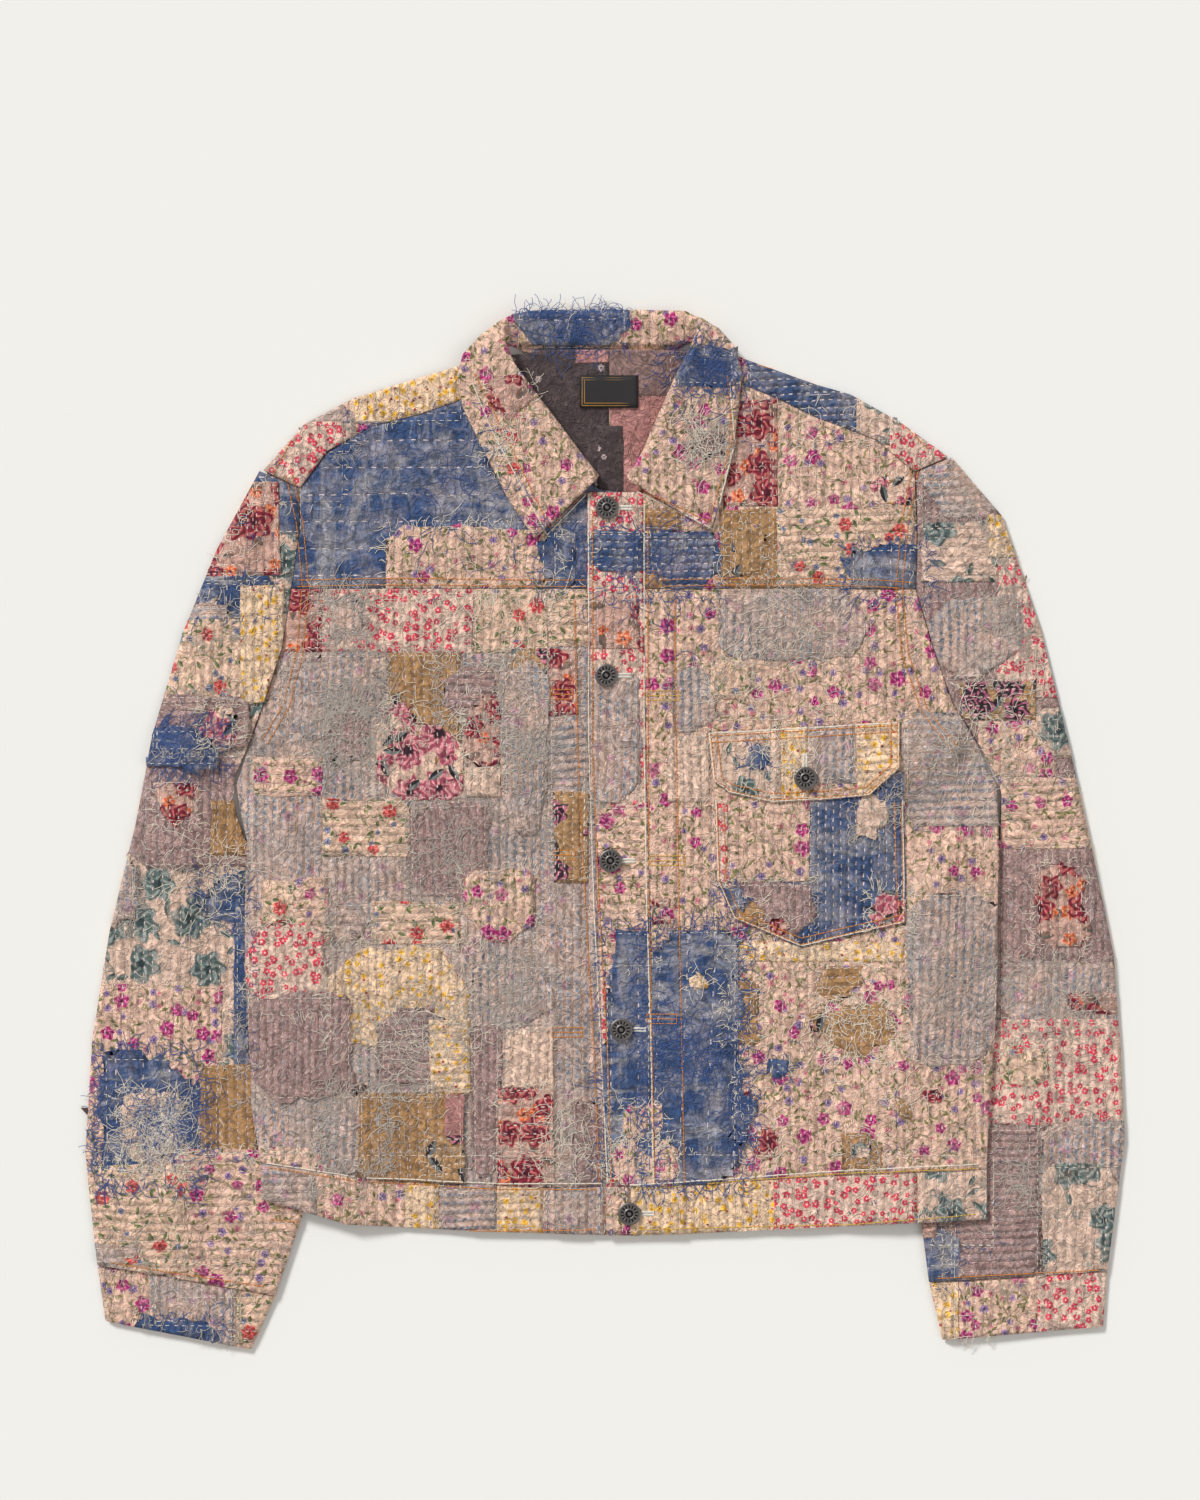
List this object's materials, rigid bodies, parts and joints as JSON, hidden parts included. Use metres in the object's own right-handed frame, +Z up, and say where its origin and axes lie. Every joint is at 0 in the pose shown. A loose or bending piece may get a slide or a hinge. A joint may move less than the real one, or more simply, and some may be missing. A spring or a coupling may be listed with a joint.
{
  "type": "patched boro jacket laid flat",
  "caption": "Boxy button-front work jacket of quilted patchwork cloth, laid flat: collar, yokes, pleated fronts, chest pocket with flap, hem band and cuffs.",
  "frame": {"origin": "centre of the laid-out jacket's plan, on the surface that it lies on", "axes": "+Z up from the surface, +Y towards the collar, +X towards the chest pocket (the wearer's left)"},
  "size_m": [0.77, 0.77, 0.0208],
  "materials": {
    "grey_gauze": "worn grey-blue gauze over beige cotton, hand quilted",
    "khaki_twill": "matt khaki cotton twill",
    "worn_denim": "faded indigo denim with white running stitches",
    "rose_cotton": "cream cotton printed with small roses, frayed",
    "label_cloth": "black woven label, gold border, no text",
    "gunmetal": "dull gunmetal shank button"
  },
  "bodies": {
    "root": {"back_panel": "grey_gauze", "back_yoke": "khaki_twill", "front_yoke_left": "worn_denim", "front_yoke_right": "rose_cotton", "front_left": "grey_gauze", "front_right": "rose_cotton", "placket": "rose_cotton", "hem_band_back": "khaki_twill", "hem_band_left": "rose_cotton", "hem_band_right": "rose_cotton", "sleeve_left": "rose_cotton", "sleeve_right": "rose_cotton", "cuff_left": "grey_gauze", "cuff_right": "grey_gauze", "collar": "rose_cotton", "pocket": "worn_denim", "pocket_flap": "rose_cotton", "neck_label": "label_cloth", "button_neck": "gunmetal", "button_chest": "gunmetal", "button_middle": "gunmetal", "button_low": "gunmetal", "button_hem": "gunmetal", "button_flap": "gunmetal"}
  },
  "joints": []
}
